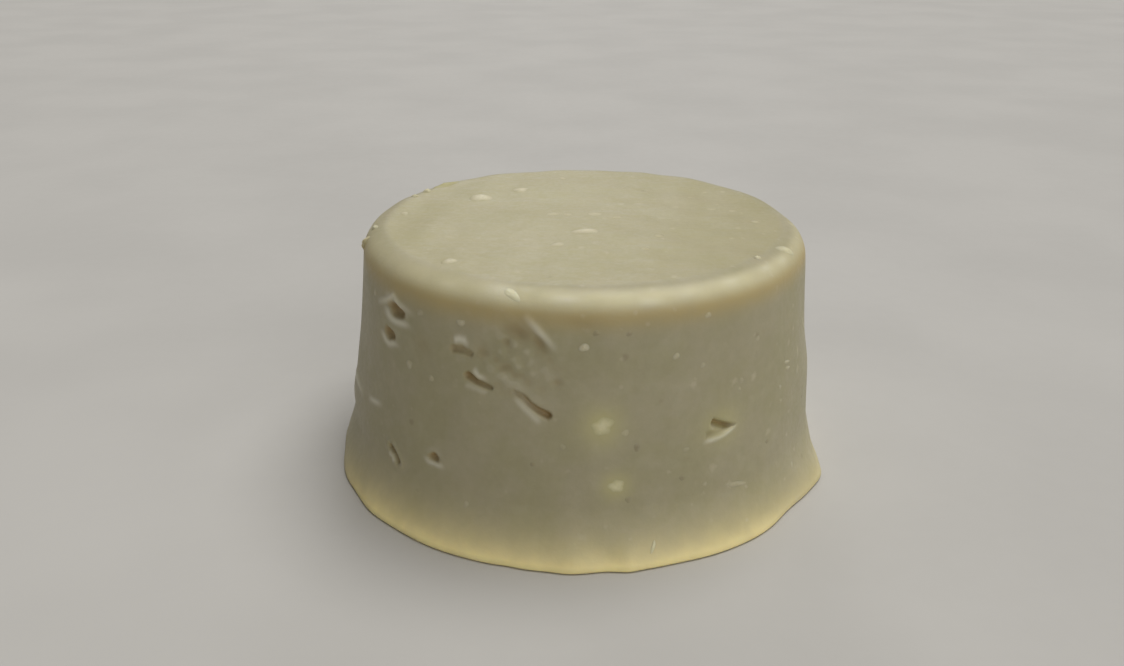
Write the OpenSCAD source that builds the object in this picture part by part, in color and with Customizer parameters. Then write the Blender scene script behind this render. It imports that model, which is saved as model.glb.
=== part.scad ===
// Shaving soap puck: a poured round cake with a rounded rim, a drafted wall and a flared foot.
// The origin is the centre of the base, +Z is up and the front of the cake faces -Y.

/* [Puck] */
// Diameter of the foot, the widest part
foot_d = 70; // [56:1:90]
// Height from the base to the top face
height = 33.8; // [27:0.1:44]
// Draft of the wall from the vertical, in degrees
draft = 5.9; // [3:0.1:8]
// Radius of the rounded rim
rim_r = 3.5; // [2:0.1:5]

/* [Foot] */
// How far the foot stands out past the end of the straight wall
flare_w = 2.3; // [1.6:0.1:4]
// Height above the base at which the wall starts to flare
flare_h = 7.6; // [6:0.1:10]
// Height of the foot's upright edge
lip_h = 1.2; // [0.9:0.1:2]
// Radius of the edge under the foot
edge_r = 0.6; // [0.2:0.1:0.8]
// Depth of the flat that was rubbed on the foot's front right
flat_depth = 0.7; // [0.3:0.1:1.2]

/* [Pits] */
// Depth of the torn pits that run along the wall
groove_depth = 0.9; // [0.4:0.1:1.4]
// Depth of the shallow dents in the torn patch
dent_depth = 0.25; // [0.1:0.05:0.5]
// Depth of the three-cornered pit's floor
chip_depth = 1.3; // [0.6:0.1:1.8]
// Depth of the step inside the three-cornered pit
chip_step = 0.6; // [0.3:0.1:0.6]
// Length of the slit near the foot
slit_l = 2.2; // [1.2:0.1:3]
// Width of the slit near the foot
slit_w = 0.7; // [0.4:0.1:1]
// Depth of the slit near the foot
slit_depth = 0.7; // [0.3:0.1:1.2]
// Length of the ridge of torn soap
ridge_l = 3.4; // [2:0.1:5]
// Width of the ridge of torn soap
ridge_w = 0.7; // [0.4:0.1:1]
// Height of the ridge of torn soap
ridge_h = 0.2; // [0.1:0.05:0.3]

/* [Grains] */
// How far a grain stands out of the soap
grain_proud = 0.1; // [0.05:0.01:0.2]
// How deep a grain on the top face or the wall sits in the soap
grain_depth = 0.7; // [0.4:0.1:1.2]
// How deep a large star crystal sits in the soap
star_depth = 0.9; // [0.4:0.1:1.2]
// How deep a dark speck sits in the soap
speck_depth = 0.3; // [0.2:0.1:0.6]

/* [Crumbs] */
// Length of the shaving on the rim
shaving_l = 2.2; // [1.4:0.1:3]
// Width of the shaving on the rim
shaving_w = 0.8; // [0.5:0.1:1.2]
// How far the shaving and the crumbs stand out of the soap
crumb_proud = 0.45; // [0.2:0.05:0.7]
// How deep the shaving and the crumbs sit in the soap
crumb_seat = 0.4; // [0.2:0.05:0.8]
// Length of the sliver in the foot
sliver_l = 1.4; // [0.8:0.1:2]
// Width of the sliver in the foot
sliver_w = 0.5; // [0.3:0.1:0.8]

/* [Hidden] */
$fn = 96;

// How far a cutter reaches past the face that it opens
CLEAR = 2;
// How far the ridge and the slit stay from the ends of the straight wall
EDGE_GAP = 0.3;

foot_r = foot_d / 2;
// Where the straight wall ends and the flare begins
wall_foot_r = foot_r - flare_w;
// Where the straight wall would meet the top face if the rim were sharp
corner_r = wall_foot_r - (height - flare_h) * tan(draft);
// Radius of the flat part of the top face, which is also where the rim's round is centred
flat_r = corner_r - rim_r * (1 - sin(draft)) / cos(draft);
// Height at which the rim's round meets the straight wall
wall_top = height - rim_r * (1 - sin(draft));

// The flare is an arc that leaves the straight wall smoothly and ends at the foot's upright edge
flare_run = [flare_w, lip_h - flare_h];
flare_arc = (flare_run * flare_run) / (2 * (flare_run * [cos(draft), sin(draft)]));
flare_x = wall_foot_r + flare_arc * cos(draft);
flare_z = flare_h + flare_arc * sin(draft);

// Radius of the skin at height z, and how far the skin leans back there
function skin_r(z) = z < flare_h
    ? flare_x - sqrt(flare_arc * flare_arc - (z - flare_z) * (z - flare_z))
    : wall_foot_r - (z - flare_h) * tan(draft);
function skin_lean(z) = z < flare_h ? asin((flare_z - z) / flare_arc) : draft;

// Each row below is [angle round the puck, share of the way up the straight wall, length, width, turn].
// On the foot the share is of the flare's height, and on top it is of the flat's radius. The angle
// counts from +X towards +Y, so the front is -90.
TOP_GRAINS = [
    [147.0, 0.66, 2.7, 3.2, 10],
    [-86.4, 0.25, 3.0, 2.0, 5],
    [122.8, 0.64, 1.8, 1.6, 30],
    [156.5, 0.16, 0.9, 1.1, 0],
    [138.0, 0.095, 0.8, 1.0, 40],
    [43.0, 0.095, 1.9, 0.8, -5],
    [4.5, 0.187, 0.8, 0.8, 20],
    [-104.7, 0.46, 1.6, 1.3, 15],
    [-129.7, 0.935, 1.6, 1.5, 60],
    [176.3, 0.93, 0.9, 1.0, 0],
    [97.9, 0.82, 1.0, 1.2, 10],
    [-39.4, 0.49, 0.7, 0.8, 50],
    [-59.0, 0.58, 0.7, 0.7, 0],
    [-4.2, 0.89, 0.9, 0.8, 30]
];
WALL_GRAINS = [
    [-89.3, 0.868, 1.1, 0.8, 0],
    [-69.1, 0.788, 0.7, 0.6, 30],
    [-132.5, 0.615, 0.9, 1.3, 10],
    [-125.3, 0.602, 0.8, 0.7, 45],
    [-148.7, 0.908, 0.9, 0.8, 0],
    [-117.3, 0.935, 1.0, 0.7, 15],
    [-128.7, 0.928, 0.8, 0.7, 60],
    [-80.5, 0.402, 0.8, 0.8, 20],
    [-93.7, 0.336, 0.8, 0.7, 0],
    [-62.6, 0.715, 0.7, 0.7, 35],
    [-33.4, 0.522, 1.5, 1.4, 0],
    [-26.4, 0.535, 0.7, 1.8, 5],
    [-18.5, 0.622, 4.6, 0.9, -50],
    [-51.7, 0.575, 0.6, 0.7, 0],
    [-51.7, 0.509, 0.6, 0.5, 45],
    [-46.1, 0.762, 0.6, 0.6, 10],
    [-61.2, 0.968, 0.6, 0.7, 20],
    [-19.7, 0.256, 0.9, 0.7, 0],
    [-37.0, 0.416, 0.7, 0.7, 30],
    [-36.9, 0.336, 0.6, 0.8, 65],
    [-62.2, 0.05, 0.7, 0.7, 15],
    [-66.8, 0.269, 1.0, 0.6, 0]
];
FOOT_GRAINS = [
    [-115.0, 0.77, 1.0, 0.8, 70],
    [-53.0, 0.87, 3.6, 0.5, -15],
    [-32.0, 0.67, 0.8, 0.7, 40]
];
STARS = [
    [-85.4, 0.449, 2.6, 2.4, 10],
    [-82.2, 0.116, 1.7, 1.6, 50]
];
SPECKS = [
    [-78.1, 0.323, 0.5, 0.5, 0],
    [-80.0, 0.03, 0.6, 0.5, 20],
    [-67.8, 0.123, 0.5, 0.4, 0],
    [-86.8, 0.941, 0.4, 0.4, 30],
    [-79.7, 0.935, 0.4, 0.4, 0],
    [-100.0, 0.229, 0.4, 0.4, 15],
    [-43.0, 0.15, 0.4, 0.5, 0]
];
// Crumbs on the rim: [angle, lean down the round from the top, length, width, turn]
CRUMBS = [
    [150.0, 6, 1.1, 0.9, 20],
    [157.2, 4, 0.9, 0.8, 70],
    [140.0, 8, 3.6, 0.7, 5],
    [-172.0, 32, 1.2, 1.0, 30],
    [-168.0, 62, 1.7, 0.9, 80],
    [-38.3, 9, 0.9, 0.8, 30],
    [-25.0, 28, 3.2, 0.9, -48]
];
// Grooves torn in the wall: [angle, share of the way up the wall, length, width, turn]
GROOVES = [
    [-112.1, 0.638, 3.6, 1.3, -17],
    [-102.3, 0.589, 2.6, 1.1, -25],
    [-98.2, 0.518, 3.0, 1.3, -34],
    [-116.8, 0.788, 2.6, 1.1, -4]
];
// Bubbles in the wall: [angle, share of the way up the wall, width at the skin, depth]
BUBBLES = [
    [-137.1, 0.862, 2.6, 1.3],
    [-139.2, 0.908, 2.0, 0.7],
    [-140.4, 0.728, 1.9, 0.8],
    [-123.7, 0.148, 1.2, 0.6]
];
// Shallow dents round the torn patch: [angle, share of the way up the wall, width]
DENTS = [
    [-103.2, 0.928, 2.2],
    [-99.8, 0.862, 2.0],
    [-106.1, 0.868, 1.3],
    [-106.4, 0.722, 1.2],
    [-111.7, 0.828, 1.3],
    [-94.8, 0.678, 1.4]
];
// The ridge, the three-cornered pit, the slit, the shaving, the sliver and the flat: where each one sits
RIDGE_ANGLE = -98.7;
RIDGE_TURN = -44;
CHIP_AT = [-58, 0.343];
CHIP_OUTLINE = [[-1.1, 1.6], [2.7, -0.3], [0.6, -1.0], [-2.1, -1.2], [-2.1, -0.2], [-1.1, 0.2]];
STEP_OUTLINE = [[-0.85, 1.2], [1.6, 0.0], [-0.85, 0.5]];
SLIT_ANGLE = -136.8;
SLIT_TURN = -42;
SHAVING_AT = [-106.1, 30];
SHAVING_TURN = -25;
SLIVER_AT = [-75.2, 0.4];
SLIVER_TURN = 68;
FLAT_AT = -36;
// Corners of a grain's outline, and how uneven the outline is
GRAIN_SIDES = 7;
GRAIN_UNEVEN = 0.16;
// Share of a pit's depth where its shelf lies, and of its width that goes deeper
PIT_SHELF = 0.5;
PIT_MIDDLE = 0.65;
// Points of a star crystal, and how far its waist comes in
STAR_POINTS = 5;
STAR_WAIST = 0.62;

// Puts its children on the skin at height z, with x to the right, y up and z out of the soap
module on_skin(angle, z) {
    rotate([0, 0, angle])
        translate([skin_r(z), 0, z])
            rotate([0, 90 - skin_lean(z), 0])
                rotate([0, 0, 90])
                    children();
}

// Puts its children on the straight wall, this share of the way up it
module on_wall(angle, share) {
    on_skin(angle, flare_h + share * (wall_top - flare_h))
        children();
}

// Puts its children on the foot, this share of the way up the flare
module on_foot(angle, share) {
    on_skin(angle, share * flare_h)
        children();
}

// Puts its children on the top face, with x and y along the row's own
module on_top(angle, share) {
    translate([share * flat_r * cos(angle), share * flat_r * sin(angle), height])
        children();
}

// Puts its children on the rim's round, lean degrees down from the top face
module on_rim(angle, lean) {
    rotate([0, 0, angle])
        translate([flat_r + rim_r * sin(lean), 0, height - rim_r + rim_r * cos(lean)])
            rotate([0, lean, 0])
                rotate([0, 0, 90])
                    children();
}

// An uneven flat-faced grain, long by wide, from deep below the skin to proud above it
module grain(long, wide, turn, deep, proud) {
    outline = [for (i = [0 : GRAIN_SIDES - 1])
        let (a = 360 * i / GRAIN_SIDES, r = 0.5 * (1 - GRAIN_UNEVEN * (1 + sin(i * 137 + long * 400)) / 2))
        [long * r * cos(a), wide * r * sin(a)]];
    rotate([0, 0, turn])
        translate([0, 0, -deep])
            linear_extrude(deep + proud)
                polygon(outline);
}

// A star of fat crystals, with points at full reach and a waist between them
module star(long, wide, turn) {
    outline = [for (i = [0 : 2 * STAR_POINTS - 1])
        let (a = 180 * i / STAR_POINTS, r = i % 2 == 0 ? 0.5 : 0.5 * STAR_WAIST)
        [long * r * cos(a), wide * r * sin(a)]];
    rotate([0, 0, turn])
        translate([0, 0, -star_depth])
            linear_extrude(star_depth + grain_proud)
                polygon(outline);
}

// A pit with an uneven outline and a deeper middle, open at the skin
module pit(long, wide, turn, deep) {
    grain(long, wide, turn, deep * PIT_SHELF, CLEAR);
    grain(long * PIT_MIDDLE, wide * PIT_MIDDLE, turn, deep, CLEAR);
}

// Half the height that a mark of this length, width and turn takes on the wall
function half_rise(long, wide, turn) = (long * abs(sin(turn)) + wide * cos(turn)) / 2;

// The ridge of torn soap, just below the rim's round
module ridge() {
    on_skin(RIDGE_ANGLE, wall_top - half_rise(ridge_l, ridge_w, RIDGE_TURN) - EDGE_GAP)
        grain(ridge_l, ridge_w, RIDGE_TURN, CLEAR, ridge_h);
}

// The three-cornered pit with its step
module chip() {
    on_wall(CHIP_AT[0], CHIP_AT[1]) {
        translate([0, 0, chip_step - chip_depth])
            linear_extrude(chip_depth + CLEAR)
                polygon(CHIP_OUTLINE);
        translate([0, 0, -chip_depth])
            linear_extrude(chip_depth)
                polygon(STEP_OUTLINE);
    }
}

// The slit, just above the start of the flare
module slit() {
    on_skin(SLIT_ANGLE, flare_h + half_rise(slit_l, slit_w, SLIT_TURN) + EDGE_GAP)
        grain(slit_l, slit_w, SLIT_TURN, slit_depth, CLEAR);
}

// Half of the puck's section
module section() {
    difference() {
        union() {
            polygon([[0, 0], [foot_r - edge_r, 0], [foot_r, edge_r], [foot_r, lip_h],
                     [wall_foot_r, flare_h],
                     [flat_r + rim_r * cos(draft), wall_top],
                     [flat_r, height], [0, height]]);
            translate([flat_r, height - rim_r])
                circle(rim_r);
            translate([foot_r - edge_r, edge_r])
                circle(edge_r);
        }
        translate([flare_x, flare_z])
            circle(flare_arc);
    }
}

module cake() {
    rotate_extrude()
        section();
}

// The flat rubbed on the foot
module foot_flat() {
    rotate([0, 0, FLAT_AT])
        translate([foot_r - flat_depth, -foot_r, -CLEAR])
            cube([flat_depth + CLEAR, foot_d, flare_h + CLEAR]);
}

module pits() {
    for (g = GROOVES)
        on_wall(g[0], g[1])
            pit(g[2], g[3], g[4], groove_depth);
    for (b = BUBBLES)
        on_wall(b[0], b[1])
            pit(b[2], b[2], 0, b[3]);
    for (d = DENTS)
        on_wall(d[0], d[1])
            grain(d[2], d[2], 0, dent_depth, CLEAR);
    chip();
    slit();
}

module soap_body() {
    color([0.60, 0.57, 0.46])
        difference() {
            union() {
                cake();
                ridge();
            }
            foot_flat();
            pits();
            top_grains();
            wall_grains();
            bloom_stars();
            clay_specks();
            rim_shaving();
            rim_crumbs();
            foot_sliver();
        }
}

module top_grains() {
    color([0.81, 0.78, 0.66])
        for (g = TOP_GRAINS)
            on_top(g[0], g[1])
                grain(g[2], g[3], g[4], grain_depth, grain_proud);
}

module wall_grains() {
    color([0.74, 0.71, 0.57])
        union() {
            for (g = WALL_GRAINS)
                on_wall(g[0], g[1])
                    grain(g[2], g[3], g[4], grain_depth, grain_proud);
            for (g = FOOT_GRAINS)
                on_foot(g[0], g[1])
                    grain(g[2], g[3], g[4], grain_depth, grain_proud);
        }
}

module bloom_stars() {
    color([0.77, 0.74, 0.58])
        for (s = STARS)
            on_wall(s[0], s[1])
                star(s[2], s[3], s[4]);
}

module clay_specks() {
    color([0.33, 0.29, 0.20])
        for (s = SPECKS)
            on_wall(s[0], s[1])
                grain(s[2], s[3], s[4], speck_depth, grain_proud);
}

module rim_shaving() {
    color([0.84, 0.81, 0.68])
        on_rim(SHAVING_AT[0], SHAVING_AT[1])
            grain(shaving_l, shaving_w, SHAVING_TURN, crumb_seat, crumb_proud);
}

module rim_crumbs() {
    color([0.72, 0.69, 0.48])
        for (c = CRUMBS)
            on_rim(c[0], c[1])
                grain(c[2], c[3], c[4], crumb_seat, crumb_proud);
}

module foot_sliver() {
    color([0.83, 0.79, 0.62])
        on_foot(SLIVER_AT[0], SLIVER_AT[1])
            grain(sliver_l, sliver_w, SLIVER_TURN, crumb_seat, grain_proud);
}

soap_body();
top_grains();
wall_grains();
bloom_stars();
clay_specks();
rim_shaving();
rim_crumbs();
foot_sliver();
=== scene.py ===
"""The looks of a shaving soap puck: a poured cake with a torn wall, pale grains set in its skin,
crumbs stuck on its rim and a painted yellow glow along its foot, on a plain pale floor."""

import math
from types import SimpleNamespace

import bpy
import numpy as np
from bpy.props import FloatProperty, FloatVectorProperty, PointerProperty
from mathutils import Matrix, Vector


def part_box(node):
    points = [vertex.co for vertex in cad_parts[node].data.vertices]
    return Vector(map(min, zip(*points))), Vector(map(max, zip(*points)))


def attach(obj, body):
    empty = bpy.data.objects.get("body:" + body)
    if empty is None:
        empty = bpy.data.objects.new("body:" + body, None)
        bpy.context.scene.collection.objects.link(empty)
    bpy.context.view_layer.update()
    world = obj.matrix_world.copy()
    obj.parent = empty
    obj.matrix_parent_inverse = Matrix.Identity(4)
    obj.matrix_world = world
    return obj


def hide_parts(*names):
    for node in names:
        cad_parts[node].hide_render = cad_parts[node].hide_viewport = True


bl_info = {
    "name": "Shaving Soap Puck",
    "version": (1, 0, 0),
    "blender": (4, 5, 0),
    "location": "3D View > Sidebar > Soap Puck",
    "description": "Builds a poured shaving soap puck, its grains and crumbs, and a plain stage",
    "category": "Add Mesh",
}

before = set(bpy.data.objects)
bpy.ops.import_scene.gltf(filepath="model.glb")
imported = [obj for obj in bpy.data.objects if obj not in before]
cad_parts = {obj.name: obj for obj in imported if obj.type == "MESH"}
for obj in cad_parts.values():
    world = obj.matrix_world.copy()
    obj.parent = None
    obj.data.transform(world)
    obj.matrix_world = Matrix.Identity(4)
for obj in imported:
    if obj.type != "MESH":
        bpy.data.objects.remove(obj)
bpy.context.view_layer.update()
body_low, body_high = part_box("soap_body")

MM = 0.001
BODY = "root"


def paint(red, green, blue):
    """The linear colour of a swatch given as screen values from 0 to 255."""
    share = np.array([red, green, blue]) / 255
    linear = np.where(share <= 0.04045, share / 12.92, ((share + 0.055) / 1.055) ** 2.4)
    return tuple(float(value) for value in linear)


# -------- settings


def length(name, description, default, **more):
    """A length in metres that a user can change."""
    return FloatProperty(name=name, description=description, default=default, min=0,
                         unit="LENGTH", subtype="DISTANCE", precision=4, **more)


def colour(name, description, default):
    """A colour that a user can change."""
    return FloatVectorProperty(name=name, description=description, default=default,
                               subtype="COLOR", size=3, min=0, max=1)


class PuckSizes(bpy.types.PropertyGroup):
    """Sizes of the cake."""
    height: length("Height", "From the floor to the top face", body_high.z - body_low.z)
    foot_radius: length("Foot radius", "Radius of the foot's lip",
                        (body_high.x - body_low.x) / 2 + 0.05 * MM)
    flare_width: length("Flare width", "How far the foot stands out past the wall", 2.3 * MM)
    flare_height: length("Flare height", "Height at which the wall starts to flare", 7.6 * MM)
    rim_radius: length("Rim radius", "Radius of the rounded rim", 3.5 * MM)
    edge_radius: length("Edge radius", "Radius of the edge under the foot", 0.4 * MM)
    draft: FloatProperty(name="Draft", description="How far the wall leans in from the vertical",
                         default=math.radians(5.5), min=0, max=math.radians(20),
                         unit="ROTATION", subtype="ANGLE")
    pit_scale: FloatProperty(name="Pit depth", default=1, min=0, max=1.5, subtype="FACTOR",
                             description="Scales all that is torn in or raised on the skin")
    unevenness: length("Unevenness", "How far the poured skin swells and sinks", 0.05 * MM)


class PuckColours(bpy.types.PropertyGroup):
    """Colours of the soap and of what is set in it."""
    soap: colour("Soap", "The cast soap", paint(176, 168, 139))
    cloud: colour("Cloud", "The yellower clouds in the soap", paint(171, 164, 131))
    top: colour("Top face", "What the top face leans towards", paint(174, 164, 112))
    # Painted highlight: the rounded rim is lightened towards this, as though it caught and let through the
    # light.
    rim: colour("Rim", "The rounded rim, where light passes through", paint(214, 206, 168))
    # Painted light: the band under the rim is tinted towards this where the lit rim turns into the wall, as
    # though light passed through the rim.
    band: colour("Band", "The yellower band under the rim", paint(187, 170, 123))
    # Painted glow: the foot's colour is lightened towards this as though light passed through its thin edge;
    # it is no lamp.
    glow: colour("Glow", "The thin edge of the foot, where light passes through", paint(255, 237, 172))
    # Painted shade, partly the soap's own brown: pits, dents and the low parts of the rough patch are
    # darkened towards this.
    pit: colour("Pit", "The deep end of a pit", paint(146, 117, 66))
    # Painted highlight: the lips of pits, the ridges, the rough patch's lumps and the rim spots are
    # lightened towards this, as though they caught the light.
    painted_highlight: colour("Painted_Highlight", "Torn soap at the lips of a pit", paint(246, 243, 226))
    halo: colour("Halo", "Soap around a crystal", paint(192, 185, 136))
    grain: colour("Grain", "Undissolved grains", paint(216, 208, 180))
    bloom: colour("Bloom", "Crystals of fat", paint(232, 225, 188))
    clay: colour("Clay", "Dark specks", paint(122, 106, 84))
    crumb: colour("Crumb", "Dry crumbs and shavings", paint(232, 226, 192))
    husk: colour("Husk", "The greener bits among the crumbs", paint(176, 168, 108))
    floor: colour("Floor", "The floor", paint(190, 187, 181))


class PuckStage(bpy.types.PropertyGroup):
    """The camera and the lamps."""
    aim: FloatVectorProperty(name="Aim", description="Point that the camera looks at",
                             default=(-2.763 * MM, 0, 16.36 * MM), size=3, subtype="XYZ", unit="LENGTH")
    eye: FloatVectorProperty(name="Eye", description="Place of the camera",
                             default=(0, -136.53 * MM, 74.16 * MM), size=3, subtype="XYZ", unit="LENGTH")
    lens: FloatProperty(name="Lens", description="Focal length of the camera", default=32.594,
                        min=10, max=200, unit="CAMERA")
    key: FloatProperty(name="Key lamp", description="Strength of the lamp above", default=2.2, min=0)
    front: FloatProperty(name="Front lamp", description="Strength of the lamp in front", default=0.74, min=0)
    back: FloatProperty(name="Back lamp", description="Strength of the lamp behind", default=0.32, min=0)
    sky: FloatProperty(name="Sky", description="Strength of the light from all round", default=0.13, min=0)


# -------- numbers


def smooth(low, high, value):
    """0 on the far side of low, 1 on the far side of high and 3t^2 - 2t^3 between them."""
    t = np.clip((value - low) / (high - low), 0, 1)
    return t * t * (3 - 2 * t)


def bell(value, reach):
    """exp(-(value / reach)^2): 1 at 0, and about a third at reach."""
    return np.exp(-(value / reach) ** 2)


def apart(angle, centre):
    """How far angle is from centre, from -180 to 180 degrees."""
    return (angle - centre + 180) % 360 - 180


def turned(x, y, degrees):
    """x and y seen from axes that are turned by degrees."""
    c, s = math.cos(math.radians(degrees)), math.sin(math.radians(degrees))
    return c * x + s * y, c * y - s * x


def unit(vectors):
    """Vectors of length 1, and straight up where there is none."""
    size = np.linalg.norm(vectors, axis=-1, keepdims=True)
    return np.where(size > 1e-12, vectors / np.maximum(size, 1e-12), [0.0, 0.0, 1.0])


# -------- the cake's skin, in millimetres

# Marks on the foot's outline: angle, reach in degrees and how far the foot stands out there
FOOT_MARKS = (
    (-170, 9, -0.55), (-150, 5, -0.20), (-140, 5, 0.20), (-121, 8, 0.15), (-104.5, 2.5, -0.15),
    (-92, 3, 0.25), (-85, 2.5, -0.20), (-80, 2.0, 0.20), (-70, 6, -0.20), (-37, 8, -0.75),
    (-20, 4.5, 0.50), (1, 13, -1.45), (52, 10, -0.25), (92, 15, 0.18), (138, 9, -0.25),
)
MARK_HEIGHT = 3.2
LEFT_SIDE, LEFT_REACH = -178, 34
RIGHT_SIDE, RIGHT_REACH = -8, 24
FLARE_POWER = 1.62


def cake_sizes(context):
    """The cake's sizes in millimetres, with what follows from them."""
    sizes = context.scene.puck_sizes
    cake = SimpleNamespace(
        height=sizes.height / MM, foot=sizes.foot_radius / MM, flare_w=sizes.flare_width / MM,
        flare_h=sizes.flare_height / MM, rim=sizes.rim_radius / MM, edge=sizes.edge_radius / MM,
        pits=sizes.pit_scale, uneven=sizes.unevenness / MM, slope=math.tan(sizes.draft),
        rim_arc=math.pi / 2 - sizes.draft)
    cake.wall_foot = cake.foot - cake.flare_w
    cake.wall_top = cake.height - cake.rim * (1 - math.sin(sizes.draft))
    cake.wall_top_r = cake.wall_foot - (cake.wall_top - cake.flare_h) * cake.slope
    cake.flat = cake.wall_top_r - cake.rim * math.cos(sizes.draft)
    cake.edge_start = cake.edge - cake.edge * math.pi / 2
    cake.top_start = cake.wall_top + cake.rim * cake.rim_arc
    cake.lowest = cake.edge_start - (cake.foot - cake.edge)
    cake.highest = cake.top_start + cake.flat
    return cake


def wall_radius(cake, angle, z):
    """Radius of the wall: a straight line that leans in by the draft, plus
    flare_w * ((flare_h - z) / flare_h)^FLARE_POWER below flare_h, plus the swellings of the left and
    right sides and the marks on the foot, which fade out above MARK_HEIGHT."""
    straight = cake.wall_foot - (z - cake.flare_h) * cake.slope
    flare = cake.flare_w * np.clip((cake.flare_h - z) / cake.flare_h, 0, 1) ** FLARE_POWER
    left = bell(apart(angle, LEFT_SIDE), LEFT_REACH) * (
        0.43 * bell(z - 10.2, 2.6) - 0.42 * smooth(12, 21, z)
        + 0.20 * smooth(0, 2.2, z) * (1 - smooth(4.5, 8.6, z)))
    right = 0.15 * bell(apart(angle, RIGHT_SIDE), RIGHT_REACH) * bell(z - 15.2, 3)
    marks = sum(out * bell(apart(angle, at), reach) for at, reach, out in FOOT_MARKS)
    return straight + flare + left + right + marks * bell(z, MARK_HEIGHT)


def skin_point(cake, angle, climb):
    """A point of the smooth skin. climb is the height on the wall; past wall_top it is the way round
    the rim's arc and then inwards over the top, and below the edge's radius it is the way round the
    edge and inwards under the base."""
    z = np.clip(climb, cake.edge, cake.wall_top)
    wall = wall_radius(cake, angle, z)
    shift = wall_radius(cake, angle, cake.wall_top) - cake.wall_top_r
    lean = cake.rim_arc - np.clip((climb - cake.wall_top) / cake.rim, 0, cake.rim_arc)
    inward = np.maximum(climb - cake.top_start, 0)
    rim = (cake.flat + shift) * (1 - inward / cake.flat) + cake.rim * np.sin(lean)
    under = np.clip((cake.edge - climb) / cake.edge, 0, math.pi / 2)
    inner = np.maximum(cake.edge_start - climb, 0)
    foot = (wall - cake.edge) * (1 - inner / (cake.foot - cake.edge)) + cake.edge * np.cos(under)
    radius = np.where(climb > cake.wall_top, rim, np.where(climb < cake.edge, foot, wall))
    rise = np.where(climb > cake.wall_top, cake.height - cake.rim * (1 - np.cos(lean)), z)
    dish = 0.35 * smooth(1, 12, inner) - 0.1 * smooth(14, 30, inner)
    height = np.where(climb < cake.edge, cake.edge * (1 - np.sin(under)) + dish, rise)
    turn = np.radians(angle)
    return np.stack(np.broadcast_arrays(radius * np.cos(turn), radius * np.sin(turn), height), -1)


def skin_normal(cake, angle, climb):
    """Outward direction of the smooth skin: the step round it crossed with the step up it."""
    around = skin_point(cake, angle + 0.2, climb) - skin_point(cake, angle - 0.2, climb)
    up = skin_point(cake, angle, climb + 0.03) - skin_point(cake, angle, climb - 0.03)
    return unit(np.cross(around, up))


SKIN_WAVES = (16.0, 13.0, 11.0, 9.0, 7.5, 6.5, 5.5, 5.0)


def ripples(points, waves, seed):
    """A sum of plane waves, each with its own length in millimetres, direction and phase. Shorter
    waves are lower."""
    dice = np.random.default_rng(seed)
    total = 0
    for wave in waves:
        direction = dice.normal(size=points.shape[-1])
        along_wave = points @ (direction / np.linalg.norm(direction)) * 2 * math.pi / wave
        total = total + wave / max(waves) * np.sin(along_wave + dice.uniform(0, 2 * math.pi))
    return total


def swelling(cake, points):
    """How far the poured skin stands out: ripples through the soap."""
    return cake.uneven * ripples(points, SKIN_WAVES, 11)


# -------- pits in the wall

# Hollows: angle, height, length, width, turn, depth and how strong the painted highlight is on the lips
# above and below it
HOLLOWS = (
    (-137.7, 27.90, 3.9, 1.95, -8, 0.60, 0.50, 0.95),
    (-140.6, 24.45, 2.7, 1.75, -10, 0.50, 0.10, 0.85),
    (-123.8, 10.95, 1.9, 1.30, -4, 0.45, 0.15, 0.75),
)
# Soft dents: angle, height, length, width, turn and depth
DENTS = (
    (-103.2, 29.00, 3.6, 2.0, -14, 0.30), (-98.9, 27.90, 2.4, 1.3, -48, 0.34),
    (-106.0, 27.65, 1.3, 1.1, 0, 0.20), (-106.8, 24.50, 1.4, 1.3, 0, 0.18),
    (-111.8, 26.00, 1.9, 1.7, 0, 0.18), (-94.9, 23.30, 1.2, 1.1, 0, 0.18),
    (-128.0, 25.00, 3.0, 2.4, 20, 0.10), (-90.5, 30.30, 4.0, 1.3, -8, 0.10),
)
# Tears: points as (angle, height), width and depth at both ends, and how strong the painted highlight is on
# the lips above and below
TEARS = (
    (((-119.0, 25.75), (-116.8, 25.85), (-114.8, 25.55)), (1.35, 1.10), (0.36, 0.30), 1.00, 0.10),
    (((-115.2, 22.80), (-113.2, 22.25), (-109.6, 21.80)), (1.15, 0.70), (0.60, 0.36), 0.85, 0.40),
    (((-104.3, 21.75), (-102.4, 21.30), (-100.9, 20.45), (-98.9, 19.70), (-96.9, 19.15)),
     (0.75, 1.10), (0.26, 0.66), 0.10, 0.60),
    (((-138.3, 9.50), (-136.6, 9.00), (-135.3, 8.05)), (0.95, 0.85), (0.45, 0.40), 0.10, 0.70),
)
# The three-cornered pit
CHIP_PLACE = (-58.0, 15.5)
# The rough patch between the tears, and its lumps' widths
ROUGH_PLACE, ROUGH_REACH = (-104.0, 25.5), 3.9
ROUGH_WAVES = (3.4, 2.6, 2.1, 1.7, 1.4)
# Painted highlight spots on the rim, each on a small bump: angle, way round the rim's arc, length, width and
# strength
RIM_SPOTS = (
    (-93.4, 2.5, 3.4, 1.0, 0.55), (-75.0, 1.9, 2.8, 0.9, 0.50), (-108.6, 3.1, 4.0, 1.8, 0.50),
    (-103.0, 3.6, 2.4, 1.0, 0.25), (-66.0, 2.3, 3.5, 1.0, 0.25), (-53.0, 2.6, 2.6, 1.0, 0.30),
    (-40.0, 2.8, 2.4, 1.0, 0.40), (-31.0, 2.6, 2.6, 1.2, 0.30), (-122.0, 2.6, 3.0, 1.0, 0.20),
)
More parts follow.
